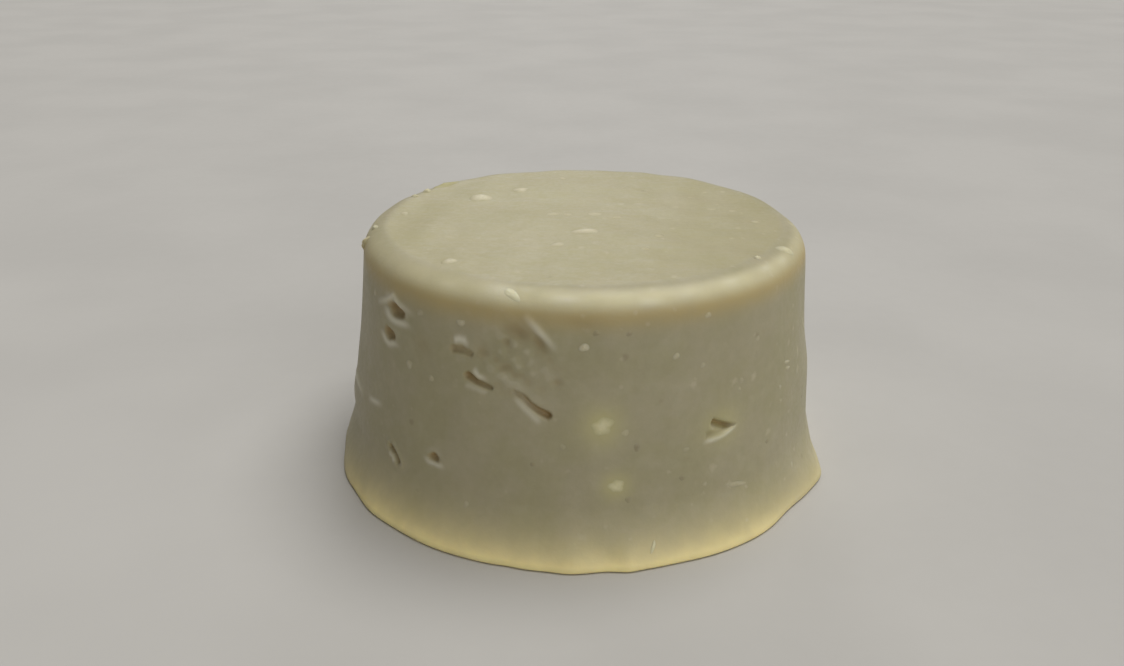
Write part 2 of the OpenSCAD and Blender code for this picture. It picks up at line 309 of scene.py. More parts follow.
# Raised lines: points as (angle, height), width and height
RIDGES = (
    (((-101.6, 30.7), (-99.6, 29.6), (-96.0, 27.5)), 0.50, 0.26),
    (((-145.6, 27.9), (-141.5, 28.8), (-138.8, 29.7), (-133.8, 28.0)), 0.42, 0.24),
    (((-167.0, 13.5), (-161.5, 13.6), (-155.5, 13.0)), 0.50, 0.30),
    (((-150.5, 13.5), (-144.0, 14.1)), 0.40, 0.08),
)


def local(cake, angle, climb, at, z):
    """Millimetres right of and above a place on the wall."""
    radius = cake.wall_foot - (z - cake.flare_h) * cake.slope
    return np.radians(apart(angle, at)) * radius, climb - z


def hollow(x, y, long, wide, turn, deep):
    """Depth and masks of a hollow. With q the distance from the middle in half widths, wavering by
    three and five waves round it, it is deep * (1 - smooth(0.3, 1.1, q)) deep, and its lips stand
    up round q = 1.45. The masks are its painted shade, darker on its upper side, and the painted
    highlight on the lip above it and on the lip below it."""
    u, v = turned(x, y, turn)
    u, v = 2 * u / long, 2 * v / wide
    around = np.arctan2(v, u)
    edge = 1 + 0.08 * np.sin(3 * around + long * 5) + 0.04 * np.sin(5 * around + wide * 9)
    q = np.hypot(u, v) / edge
    side = np.sin(around) * smooth(0, 0.5, q)
    floor = 1 - smooth(0.3, 1.1, q)
    lip = bell(q - 1.45, 0.45)
    dark = (1 - smooth(0.55, 1.2, q)) * (0.8 + 0.2 * side)
    above, below = smooth(0.1, 0.9, side), smooth(-0.1, -0.9, side)
    return 0.20 * deep * lip - deep * floor, dark, lip * above, lip * below


def along(x, y, points):
    """How far along a bent line each place is, from 0 to 1, how far off it is, and on which side:
    1 above it and -1 below."""
    steps = [math.dist(a, b) for a, b in zip(points, points[1:])]
    best = SimpleNamespace(off=np.full(x.shape, np.inf), share=np.zeros(x.shape), side=np.ones(x.shape))
    done = 0
    for (ax, ay), (bx, by), step in zip(points, points[1:], steps):
        dx, dy = (bx - ax) / step, (by - ay) / step
        t = np.clip((x - ax) * dx + (y - ay) * dy, 0, step)
        off = np.hypot(x - ax - t * dx, y - ay - t * dy)
        near = off < best.off
        best.share = np.where(near, (done + t) / sum(steps), best.share)
        best.side = np.where(near, np.sign(dx * (y - ay) - dy * (x - ax)), best.side)
        best.off = np.where(near, off, best.off)
        done += step
    return best.share, best.off, best.side


def wall_line(cake, angle, climb, places):
    """along() for a line on the wall that is given as angles and heights."""
    at, z = places[0]
    x, y = local(cake, angle, climb, at, z)
    points = [tuple(float(value) for value in local(cake, a, h, at, z)) for a, h in places]
    return along(x, y, points)


def tear(cake, angle, climb, places, widths, depths):
    """Depth and masks of a tear. With q the distance across it in half widths, it is
    deep * (1 - smooth(0.15, 1.15, q)) deep, and its lips stand up round q = 1.9; along it, width and
    depth run from their first value to their last. The masks are as in hollow()."""
    share, off, side = wall_line(cake, angle, climb, places)
    half = (widths[0] + (widths[1] - widths[0]) * share) / 2
    deep = depths[0] + (depths[1] - depths[0]) * share
    q = off / half * (1 + 0.08 * np.sin(9 * share + places[0][1]))
    floor = 1 - smooth(0.15, 1.15, q)
    lip = bell(q - 1.9, 0.75) * smooth(0, 0.2, share) * smooth(1, 0.8, share)
    # Painted shade in the tear, darker where it is deeper.
    dark = (1 - smooth(0.35, 1.2, q)) * smooth(0, 0.8, deep)
    height = 0.13 * bell(q - 1.9, 0.7) - deep * floor
    above = (side > 0) * (1 - smooth(0.45, 0.95, share))
    return height, dark, lip * above, lip * (side < 0)


def chip(x, y):
    """Depth and masks of the three-cornered pit: inside three edges, less a notch at the left, the
    upper edge drops steeply to a ledge that comes out towards the lower edge. The masks are its
    painted shade, darkest under the upper edge, and the painted highlight on its lower lip and its ledge."""
    def inner(ax, ay, bx, by):
        size = math.dist((ax, ay), (bx, by))
        return ((bx - ax) * (y - ay) - (by - ay) * (x - ax)) / size
    upper = -inner(-1.3, 1.7, 2.8, -0.3)
    lower = inner(-2.3, -1.25, 2.8, -0.3) + 0.12 * np.cos(1.1 * x)
    left = x + 1.2 + 0.25 * np.sin(2.5 * y)
    left_low = np.minimum(x + 2.2, 0.1 - y)
    reach = np.minimum(np.minimum(upper, lower), np.maximum(left, left_low))
    inside = smooth(-0.1, 0.5, reach)
    floor = 0.28 + 0.85 * smooth(1.3, 0.1, upper)
    lip = bell(lower + 0.20, 0.3) * smooth(-2.9, -1.4, x) * (1 - smooth(1.2, 3.2, x))
    dark = inside * (0.18 + 0.82 * smooth(1.0, 0.3, upper))
    return 0.12 * lip - inside * floor, dark, 0.65 * lip + 0.15 * inside * bell(upper - 1.2, 0.4)


def relief(cake, angle, climb):
    """Everything torn in or raised on the wall and the rim: its height over the smooth skin, and
    masks from 0 to 1 for the painted shade in pits, dents and the rough patch, and the painted
    highlight on lips, ridges, lumps and rim spots."""
    height = np.zeros(np.broadcast(angle, climb).shape)
    dark, pale = np.zeros_like(height), np.zeros_like(height)
    cuts = [(hollow(*local(cake, angle, climb, row[0], row[1]), *row[2:6]), row[6:]) for row in HOLLOWS]
    cuts += [(tear(cake, angle, climb, *row[:3]), row[3:]) for row in TEARS]
    for (depth, shade, above, below), lips in cuts:
        height = np.minimum(height, depth) + np.maximum(depth, 0)
        dark = np.maximum(dark, shade)
        pale = np.maximum(pale, np.maximum(lips[0] * above, lips[1] * below))
    for at, z, long, wide, turn, deep in DENTS:
        u, v = turned(*local(cake, angle, climb, at, z), turn)
        bowl = np.exp(-(2 * u / long) ** 2 - (2 * v / wide) ** 2)
        height = height - deep * bowl
        # Painted shade: each dent is darkened by its depth.
        dark = np.maximum(dark, 1.5 * deep * bowl)
    for places, wide, tall in RIDGES:
        share, off, _ = wall_line(cake, angle, climb, places)
        crest = bell(off, wide) * np.sin(math.pi * (0.12 + 0.76 * share)) * (1 - dark)
        height = height + tall * crest
        # Painted highlight along the ridge's crest.
        pale = np.maximum(pale, 0.85 * crest)
    x, y = local(cake, angle, climb, *ROUGH_PLACE)
    rough = bell(np.hypot(x / 1.1, y), ROUGH_REACH)
    lumps = ripples(np.stack(np.broadcast_arrays(x, y), -1), ROUGH_WAVES, 5)
    # Painted light and shade on the rough patch: its lumps are paler on top and darker in the hollows
    # between them.
    height = height + 0.05 * rough * lumps
    pale = np.maximum(pale, 0.3 * rough * smooth(0.3, 1.6, lumps))
    dark = np.maximum(dark, 0.25 * rough * smooth(-0.6, -1.8, lumps))
    for at, over, long, wide, strength in RIM_SPOTS:
        x, y = local(cake, angle, climb, at, cake.wall_top + over)
        spot = strength * np.exp(-(2 * x / long) ** 2 - (2 * y / wide) ** 2)
        # Each rim spot is a small bump with a painted highlight.
        height = height + 0.12 * spot
        pale = np.maximum(pale, spot)
    x, y = local(cake, angle, climb, *CHIP_PLACE)
    depth, shade, lip = chip(x, y)
    height = height + depth
    return cake.pits * height, np.maximum(dark, shade), np.maximum(pale, lip)


def tints_and_painted_light(cake, angle, climb):
    """Masks from 0 to 1 for the painted glow of the thin foot, the yellow band of painted light under
    the rim, the rim's painted highlight, the yellow halos round the crystals and the chip, and the top face."""
    # Painted glow: the foot is lightened near the floor, most at the front and front left, and fades in
    # under the base.
    turn = apart(angle, 0)
    front = smooth(-175, -140, turn) * (1 - 0.72 * smooth(-66, -22, turn)) * (1 - smooth(-8, 25, turn))
    front = front * (1 + 0.35 * bell(turn + 128, 26))
    under = np.maximum(cake.edge_start - climb, 0)
    glow = np.exp(-(np.maximum(climb, 0) / 2.2) ** 1.1 - (under / 3) ** 2) * (0.25 + 0.95 * front)
    over = climb - cake.wall_top
    # Painted light: the warm band under the rim, weaker towards the back.
    band = bell(over - 0.6, 1.6) * (1 - 0.5 * smooth(40, 90, np.abs(apart(angle, -90)) - 60))
    # Painted highlight on the rim, strongest at the front.
    inner_edge = 4.1 + 1.5 * bell(apart(angle, -128), 42)
    rim = smooth(0.5, 2.3, over) * (1 - smooth(2.6, inner_edge, over))
    rim = rim * (0.3 + 0.65 * bell(apart(angle, -80), 60))
    x, y = local(cake, angle, climb, *CHIP_PLACE)
    halo = 0.7 * bell(np.hypot(x - 0.3, (y - 0.2) * 1.2), 2.8)
    for at, z, long, wide, *_ in STARS:
        x, y = local(cake, angle, climb, at, z)
        halo = np.maximum(halo, bell(np.hypot(x, y), 0.8 * max(long, wide)))
    top = smooth(cake.top_start - 0.6, cake.top_start + 0.6, climb)
    return {"glow": np.clip(glow, 0, 1), "band": band, "rim": rim, "halo": halo, "top": top + 0 * angle}


# -------- meshes


def closed_mesh(name, shells, poles, masks):
    """A mesh of closed shells. shells[shell, row, column] are points whose rows climb and whose
    columns run round counter-clockwise; poles[shell] are the points below the first row and above the
    last. Each mask has one value for every point, in the same order, poles last."""
    count, rows, columns = shells.shape[:3]
    points = np.concatenate([shells.reshape(count, -1, 3), poles], axis=1).reshape(-1, 3) * MM
    row, column = np.meshgrid(np.arange(rows - 1), np.arange(columns), indexing="ij")
    after = (column + 1) % columns
    quads = np.stack([row * columns + column, row * columns + after,
                      (row + 1) * columns + after, (row + 1) * columns + column], -1).reshape(-1, 4)
    ring = np.arange(columns)
    after = (ring + 1) % columns
    last = (rows - 1) * columns
    low, high = np.full(columns, rows * columns), np.full(columns, rows * columns + 1)
    fans = np.concatenate([np.stack([low, after, ring], -1),
                           np.stack([high, last + ring, last + after], -1)])
    first = np.arange(count)[:, None, None] * (rows * columns + 2)
    corners = np.concatenate([(quads + first).ravel(), (fans + first).ravel()])
    sizes = np.repeat([4, 3], [count * len(quads), count * len(fans)])
    mesh = bpy.data.meshes.new(name)
    mesh.vertices.add(len(points))
    mesh.vertices.foreach_set("co", points.ravel())
    mesh.loops.add(len(corners))
    mesh.loops.foreach_set("vertex_index", corners.astype(np.int32))
    mesh.polygons.add(len(sizes))
    mesh.polygons.foreach_set("loop_start", np.concatenate([[0], np.cumsum(sizes)[:-1]]).astype(np.int32))
    mesh.polygons.foreach_set("use_smooth", np.ones(len(sizes), bool))
    mesh.update(calc_edges=True)
    if mesh.validate():
        raise RuntimeError(f"{name} has faces that can't be")
    for mask, values in masks.items():
        layer = mesh.attributes.new(mask, "FLOAT", "POINT")
        layer.data.foreach_set("value", np.asarray(values, np.float32).ravel())
    return mesh


def show(mesh, material, node):
    """Puts a mesh in the scene as the piece that stands for a CAD node."""
    piece = bpy.data.objects.new(mesh.name, mesh)
    bpy.context.scene.collection.objects.link(piece)
    mesh.materials.append(material)
    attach(piece, BODY)
    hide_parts(node)


def ends(values, poles):
    """A mask's values on the shells' grid, followed by those at their poles."""
    return np.concatenate([values.reshape(len(poles), -1), poles], axis=1)


def spread(stretches):
    """Values from stretches of (start, end, step), each from its start up to but not on its end."""
    return np.concatenate([np.linspace(start, end, max(int(round((end - start) / step)), 1), endpoint=False)
                           for start, end, step in stretches])


# Where the cake's lines lie, as (start, end, step): round it, and up the wall above its edge
ROUND_LINES = (
    (-180, -166, 1.0), (-166, -145.5, 0.7), (-145.5, -133.5, 0.3), (-133.5, -120, 0.5),
    (-120, -94, 0.3), (-94, -63, 0.75), (-63, -52, 0.28), (-52, -12, 0.8), (-12, 180, 1.45),
)
WALL_LINES = ((7.4, 12.2, 0.24), (12.2, 13.6, 0.35), (13.6, 17.8, 0.19), (17.8, 21, 0.22), (21, 31.4, 0.18))


def cake_mesh(cake):
    """The cake: skin_point over the whole skin, moved along skin_normal by swelling and relief. The
    lines lie closer together where the wall is torn."""
    start, edge, top = cake.edge_start, cake.edge, cake.top_start + 0.4
    angles = spread(ROUND_LINES)
    climbs = spread([(cake.lowest + 2, start - 1, 3.4), (start - 1, start, 0.5), (start, edge, 0.14),
                     (edge, WALL_LINES[0][0], 0.46), *WALL_LINES,
                     (WALL_LINES[-1][1], top, 0.26), (top, cake.highest - 1, 1.15)])
    angle, climb = angles[None, :], climbs[:, None]
    base = skin_point(cake, angle, climb)
    out = skin_normal(cake, angle, climb)
    height, dark, pale = relief(cake, angle, climb)
    height = height + swelling(cake, base) * smooth(cake.edge, cake.edge + 2, climb)
    shell = base + out * height[..., None]
    poles = skin_point(cake, np.zeros(2), np.array([cake.lowest, cake.highest]))
    # The pit mask carries painted shade, and the pale mask beside it carries painted highlight.
    marks = {**tints_and_painted_light(cake, angle, climb), "pit": dark, "painted_highlight": pale}
    masks = {name: ends(values[None], np.array([[0, name == "top"]])) for name, values in marks.items()}
    return closed_mesh("soap_cake", shell[None], poles[None], masks)


GRAIN_ROWS, GRAIN_COLUMNS = 11, 22
# How far a grain's outline lies under the skin, so that no edge shows
SUNK = 0.02


def grain_shells(rows, dice, deep=0.4, lobes=0.0, lump=0.10, fade=1.5):
    """Closed uneven pebbles, one for each row of (length, width, turn, proud, bend, pale). With v
    from pi at the low pole to 0 at the high one and u round it, a point lies
    x = length / 2 * sin v * cos u * edge, y = width / 2 * sin v * sin u * edge + bend * x^2, and
    height = (proud * bumps + SUNK) * cos^2 v - SUNK, or deep * cos v - SUNK in the lower half, where
    edge wavers with u and bumps with both. Its paleness is pale * cos^fade v."""
    long, wide, turn, proud, bend, pale = np.array(rows, float).T[:, :, None, None]
    v = math.pi * (1 - np.arange(1, GRAIN_ROWS + 1) / (GRAIN_ROWS + 1))[None, :, None]
    u = 2 * math.pi * np.arange(GRAIN_COLUMNS)[None, None, :] / GRAIN_COLUMNS
    phase = dice.uniform(0, 2 * math.pi, (4, len(rows), 1, 1))
    edge = 1 + 0.10 * np.sin(2 * u + phase[0]) + 0.08 * np.sin(3 * u + phase[1])
    edge = edge + lobes * np.cos(5 * u + phase[3])
    x0, y0 = long / 2 * np.sin(v) * np.cos(u) * edge, wide / 2 * np.sin(v) * np.sin(u) * edge
    rise = np.clip(np.cos(v), 0, 1)
    bumps = 1 + lump * np.sin(3 * u + 4 * v + phase[0]) + lump * np.sin(2 * u - 3 * v + phase[2])
    height = (proud * bumps + SUNK) * rise ** 2 - SUNK + deep * np.clip(np.cos(v), -1, 0)
    y0 = y0 + bend * x0 ** 2
    c, s = np.cos(np.radians(turn)), np.sin(np.radians(turn))
    tips = np.concatenate([np.full((len(rows), 1), -deep), proud[:, :, 0]], 1)
    core = ends(pale * rise ** fade + 0 * u, np.concatenate([0 * pale[:, :, 0], pale[:, :, 0]], 1))
    return c * x0 - s * y0, s * x0 + c * y0, height, tips, core


def side_grains(cake, name, rows, dice, start=0, **shape):
    """Pebbles on the wall, the foot or the rim. Each row starts with the pebble's place, an angle and
    a climb from start; it is wrapped on the skin there, x to the right and y up, and stands along the
    skin's normal."""
    x, y, height, tips, core = grain_shells([row[2:8] for row in rows], dice, **shape)
    at = np.array([(row[0], start + row[1]) for row in rows], float)[:, :, None, None]
    radius = np.linalg.norm(skin_point(cake, at[:, 0], at[:, 1])[..., :2], axis=-1)
    angle, climb = at[:, 0] + np.degrees(x / radius), at[:, 1] + y
    pole_angle, pole_climb = (np.repeat(at[:, i, 0], 2, axis=1) for i in range(2))

    def skin(a, c, out):
        base = skin_point(cake, a, c)
        return base + skin_normal(cake, a, c) * (swelling(cake, base) + out)[..., None]

    marks, pole_marks = tints_and_painted_light(cake, angle, climb), tints_and_painted_light(cake, pole_angle, pole_climb)
    masks = {key: ends(marks[key], pole_marks[key]) for key in marks}
    masks["core"] = core
    return closed_mesh(name, skin(angle, climb, height), skin(pole_angle, pole_climb, tips), masks)


def top_grains(cake, name, rows, dice):
    """Pebbles on the top face: each lies flat at its place, the x and y that its row starts with, and
    stands straight up."""
    x, y, height, tips, core = grain_shells([row[2:] for row in rows], dice)
    at = np.array(rows, float)[:, :2, None, None]

    def skin(px, py, out):
        flat = np.stack(np.broadcast_arrays(px, py, cake.height), -1)
        return flat + np.array([0, 0, 1.0]) * (swelling(cake, flat) + out)[..., None]

    middle_x, middle_y = (np.repeat(at[:, i, 0], 2, axis=1) for i in range(2))
    masks = {tint_or_light.lower(): np.full(core.shape, tint_or_light == "Top") for tint_or_light in TINTS_AND_PAINTED_LIGHT}
    masks["core"] = core
    return closed_mesh(name, skin(at[:, 0] + x, at[:, 1] + y, height), skin(middle_x, middle_y, tips), masks)


# -------- shader nodes

# What colours the cast soap, in the order it is laid on: the top face's tint, the halos, then painted light,
# that is the band under the rim, the rim's painted highlight and the foot's painted glow; and how strongly
# the top face is tinted
TINTS_AND_PAINTED_LIGHT = ("Top", "Halo", "Band", "Rim", "Glow")
TOP_TINT = 0.4


class Nodes:
    """Adds nodes to one tree and joins them, so that a material reads as a list of steps."""

    def __init__(self, tree):
        self.tree = tree

    def add(self, kind, inputs=(), **settings):
        """A new node; each input is a value or the socket that feeds it."""
        node = self.tree.nodes.new("ShaderNode" + kind)
        for key, value in settings.items():
            setattr(node, key, value)
        for key, value in dict(inputs).items():
            if isinstance(value, bpy.types.NodeSocket):
                self.tree.links.new(value, node.inputs[key])
            else:
                node.inputs[key].default_value = value
        return node

    def mask(self, name):
        """A mask that the mesh carries."""
        return self.add("Attribute", attribute_name=name, attribute_type="GEOMETRY").outputs["Fac"]

    def mix(self, factor, a, b):
        """a where the factor is 0, b where it is 1."""
        a, b = (value if isinstance(value, bpy.types.NodeSocket) else (*value, 1) for value in (a, b))
        return self.add("Mix", {0: factor, 6: a, 7: b}, data_type="RGBA").outputs[2]

    def sums(self, operation, a, b):
        """a and b joined by the named operation."""
        return self.add("Math", {0: a, 1: b}, operation=operation).outputs[0]

    def ramp(self, value, low, high, start=0.0, end=1.0):
        """start up to low, end from high on and a smooth step between."""
        sockets = {"Value": value, "From Min": low, "From Max": high, "To Min": start, "To Max": end}
        return self.add("MapRange", sockets, interpolation_type="SMOOTHSTEP").outputs[0]

    def noise(self, vector, scale, detail=2.0, roughness=0.5):
        """Noise whose features are about 1 / scale wide."""
        sockets = {"Vector": vector, "Scale": scale, "Detail": detail, "Roughness": roughness}
        return self.add("TexNoise", sockets).outputs[0]

    def millimetres(self, stretch=(1, 1, 1)):
        """Object coordinates in millimetres, each divided by its stretch."""
        place = self.add("TexCoord").outputs["Object"]
        scale = tuple(1 / (MM * value) for value in stretch)
        return self.add("Mapping", {"Vector": place, "Scale": scale}).outputs[0]


def group(name, inputs, outputs):
    """An empty node group with these sockets, given as {name: kind}, and its two end nodes."""
    tree = bpy.data.node_groups.new(name, "ShaderNodeTree")
    for direction, sockets in (("INPUT", inputs), ("OUTPUT", outputs)):
        for socket, kind in sockets.items():
            tree.interface.new_socket(socket, in_out=direction, socket_type="NodeSocket" + kind)
    return tree, tree.nodes.new("NodeGroupInput").outputs, tree.nodes.new("NodeGroupOutput").inputs


def freckle_group():
    """Soft round spots scattered through the soap: a mask that is 1 in a spot's middle."""
    if "Freckles" in bpy.data.node_groups:
        return bpy.data.node_groups["Freckles"]
    tree, given, made = group(
        "Freckles", {"Vector": "Vector", "Spacing": "Float", "Size": "Float", "Share": "Float"},
        {"Mask": "Float"})
    nodes = Nodes(tree)
    scale = nodes.sums("DIVIDE", 1.0, given["Spacing"])
    cells = nodes.add("TexVoronoi", {"Vector": given["Vector"], "Scale": scale, "Randomness": 1.0})
    wobble = nodes.ramp(nodes.noise(given["Vector"], 1.6), 0.3, 0.7, 0.7, 1.3)
    reach = nodes.sums("MULTIPLY", nodes.sums("DIVIDE", given["Size"], given["Spacing"]), wobble)
    spot = nodes.ramp(nodes.sums("DIVIDE", cells.outputs["Distance"], reach), 1.0, 0.2)
    lot = nodes.add("SeparateColor", {"Color": cells.outputs["Color"]}).outputs[0]
    picked = nodes.sums("LESS_THAN", lot, given["Share"])
    tree.links.new(nodes.sums("MULTIPLY", spot, picked), made["Mask"])
    return tree


def soap_group():
    """The cast soap that every piece is made of: clouds and fine mottling, then the tint of the top
    face, the halos, and the painted light of the band under the rim, the rim's highlight and the
    foot's glow, a roughness that varies, and a height for bump."""
    if "Cast Soap" in bpy.data.node_groups:
        return bpy.data.node_groups["Cast Soap"]
    sockets = {"Vector": "Vector", "Soap": "Color", "Cloud": "Color"}
    for tint_or_light in TINTS_AND_PAINTED_LIGHT:
        sockets.update({tint_or_light: "Float", tint_or_light + " Colour": "Color"})
    tree, given, made = group("Cast Soap", sockets,
                              {"Color": "Color", "Roughness": "Float", "Height": "Float"})
    nodes = Nodes(tree)
    place = given["Vector"]
    clouds = nodes.ramp(nodes.noise(place, 0.13, 3.0, 0.6), 0.32, 0.68)
    base = nodes.mix(clouds, given["Soap"], given["Cloud"])
    fine = nodes.noise(place, 0.9, 3.0, 0.65)
    base = nodes.mix(nodes.ramp(fine, 0.25, 0.75, 0.0, 0.09), base, (0.17, 0.15, 0.08))
    curds = nodes.noise(place, 0.42, 2.0)
    base = nodes.mix(nodes.ramp(curds, 0.45, 0.75, 0.0, 0.06), base, (0.72, 0.69, 0.50))
    waver = nodes.ramp(nodes.noise(place, 0.35, 2.0), 0.3, 0.7, 0.88, 1.06)
    for tint_or_light in TINTS_AND_PAINTED_LIGHT:
        factor = nodes.sums("MULTIPLY", given[tint_or_light], waver)
        factor.node.use_clamp = True
        base = nodes.mix(factor, base, given[tint_or_light + " Colour"])
    rough = nodes.ramp(nodes.noise(place, 1.7, 3.0), 0.3, 0.7, 0.40, 0.52)
    grit = nodes.noise(place, 3.2, 3.0, 0.6)
    pores = nodes.noise(place, 0.8, 2.0)
    height = nodes.sums("ADD", nodes.sums("MULTIPLY", grit, 0.35), pores)
    tree.links.new(base, made["Color"])
    tree.links.new(rough, made["Roughness"])
    tree.links.new(height, made["Height"])
    return tree


def material(name):
    """A new material with a Principled shader, and the Nodes to build on."""
    made = bpy.data.materials.new(name)
    made.use_nodes = True
    nodes = Nodes(made.node_tree)
    return made, nodes, made.node_tree.nodes["Principled BSDF"].inputs


def cast_soap(nodes, shader, colours):
    """Places the cast soap in a material and sets what is the same all over it: soft light inside the
    soap and a waxy reflection. Gives the soap's sockets."""
    sockets = {"Vector": nodes.millimetres(), "Soap": (*colours.soap, 1), "Cloud": (*colours.cloud, 1)}
    for tint_or_light in TINTS_AND_PAINTED_LIGHT:
        sockets[tint_or_light + " Colour"] = (*getattr(colours, tint_or_light.lower()), 1)
        sockets[tint_or_light] = nodes.mask(tint_or_light.lower())
    sockets["Top"] = nodes.sums("MULTIPLY", sockets["Top"], TOP_TINT)
    shader["Subsurface Weight"].default_value = 0.25
    shader["Subsurface Radius"].default_value = (1.0, 0.8, 0.45)
    shader["Subsurface Scale"].default_value = 0.7 * MM
    shader["IOR"].default_value = 1.46
    shader["Specular IOR Level"].default_value = 0.28
    return nodes.add("Group", sockets, node_tree=soap_group()).outputs


def freckles(nodes, place, spacing, size, share):
    """A mask of spots, by the freckle group."""
    sockets = {"Vector": place, "Spacing": spacing, "Size": size, "Share": share}
    return nodes.add("Group", sockets, node_tree=freckle_group()).outputs["Mask"]


def finish_material(nodes, shader, tone, roughness, height, depth):
    """Feeds a colour, a roughness and a bump of this depth in metres to the shader."""
    bump = nodes.add("Bump", {"Height": height, "Distance": depth, "Strength": 1.0})
    for key, value in (("Base Color", tone), ("Roughness", roughness), ("Normal", bump.outputs[0])):
        nodes.tree.links.new(value, shader[key])


def soap_material(colours):
    """The cake: cast soap with pale freckles, more of them on the right, dark dots, pits darkened
    towards brown, partly the soap's own colour and partly painted shade, painted highlight on their
    lips, ridges and rim spots, and fine wipe streaks on top."""
    made, nodes, shader = material("cast_soap")
    soap = cast_soap(nodes, shader, colours)
    place = nodes.millimetres()
    across = nodes.add("SeparateXYZ", {"Vector": place}).outputs[0]
    right = nodes.ramp(across, -12.0, 24.0, 0.35, 1.0)
    pale = nodes.sums("MULTIPLY", freckles(nodes, place, 2.6, 0.75, 0.22), right)
    small = nodes.sums("MULTIPLY", freckles(nodes, place, 1.5, 0.42, 0.14), right)
    pale = nodes.sums("MAXIMUM", pale, small)
    tone = nodes.mix(nodes.sums("MULTIPLY", pale, 0.30), soap["Color"], colours.grain)
    dots = nodes.sums("MULTIPLY", freckles(nodes, place, 4.2, 0.6, 0.22), 0.28)
    tone = nodes.mix(dots, tone, colours.clay)
    # Painted highlight on lips, ridges, lumps and rim spots, then painted shade, in brown, in pits and
    # dents.
    tone = nodes.mix(nodes.sums("MULTIPLY", nodes.mask("painted_highlight"), 0.55), tone, colours.painted_highlight)
    tone = nodes.mix(nodes.sums("MULTIPLY", nodes.mask("pit"), 0.85), tone, colours.pit)
    streaks = nodes.noise(nodes.millimetres((14, 1, 1)), 1.1, 3.0, 0.6)
    top = nodes.mask("top")
    wiped = nodes.sums("MULTIPLY", nodes.ramp(streaks, 0.42, 0.70), top)
    tone = nodes.mix(nodes.sums("MULTIPLY", wiped, 0.12), tone, (0.32, 0.29, 0.18))
    rough = nodes.sums("ADD", soap["Roughness"], nodes.sums("MULTIPLY", wiped, -0.07))
    height = nodes.sums("ADD", soap["Height"], nodes.sums("MULTIPLY", wiped, 0.25))
    finish_material(nodes, shader, tone, rough, height, 0.025 * MM)
    return made


def grain_material(name, colours, tone, husk=None):
    """A grain set in the soap: cast soap at its outline that turns into the grain's own colour by its
    core mask, and into a second colour by its husk mask."""
    made, nodes, shader = material(name)
    soap = cast_soap(nodes, shader, colours)
    place = nodes.millimetres()
    patchy = nodes.ramp(nodes.noise(place, 2.4, 2.0), 0.25, 0.7, 0.72, 1.0)
    own = nodes.mix(nodes.mask("husk"), tone, husk) if husk else tone
    paled = nodes.mix(nodes.sums("MULTIPLY", nodes.mask("core"), patchy), soap["Color"], own)
    rough = nodes.sums("ADD", soap["Roughness"], 0.06)
    finish_material(nodes, shader, paled, rough, soap["Height"], 0.03 * MM)
    return made


# -------- what is set in the soap

# Top grains: x, y, then length, width, turn, how far they stand out, bend and how pale they are
TOP_GRAINS = (
    (-15.0, 9.9, 3.3, 3.9, 10, 0.26, 0, 1.0), (0.5, -6.6, 3.6, 2.7, 5, 0.20, 0, 0.90),
    (-9.35, 14.3, 2.8, 2.3, 10, 0.15, 0, 0.85), (-3.95, 1.75, 1.9, 1.9, 0, 0.07, 0, 0.42),
    (-1.9, 1.7, 1.4, 1.5, 40, 0.06, 0, 0.32), (1.85, 1.75, 2.6, 1.9, -5, 0.07, 0, 0.50),
    (5.0, 0.4, 1.6, 1.3, 20, 0.06, 0, 0.34), (-3.1, -12.0, 2.1, 2.0, 15, 0.10, 0, 0.48),
    (-16.1, -19.3, 2.2, 2.2, 60, 0.15, 0, 0.75), (-25.0, 1.6, 1.3, 1.5, 0, 0.07, 0, 0.45),
    (-3.0, 21.8, 1.1, 1.8, 10, 0.07, 0, 0.45), (10.2, -8.4, 1.3, 1.5, 50, 0.07, 0, 0.32),
    (8.1, -13.5, 1.3, 1.4, 0, 0.07, 0, 0.28), (23.8, -1.8, 1.3, 1.5, 30, 0.08, 0, 0.40),
)
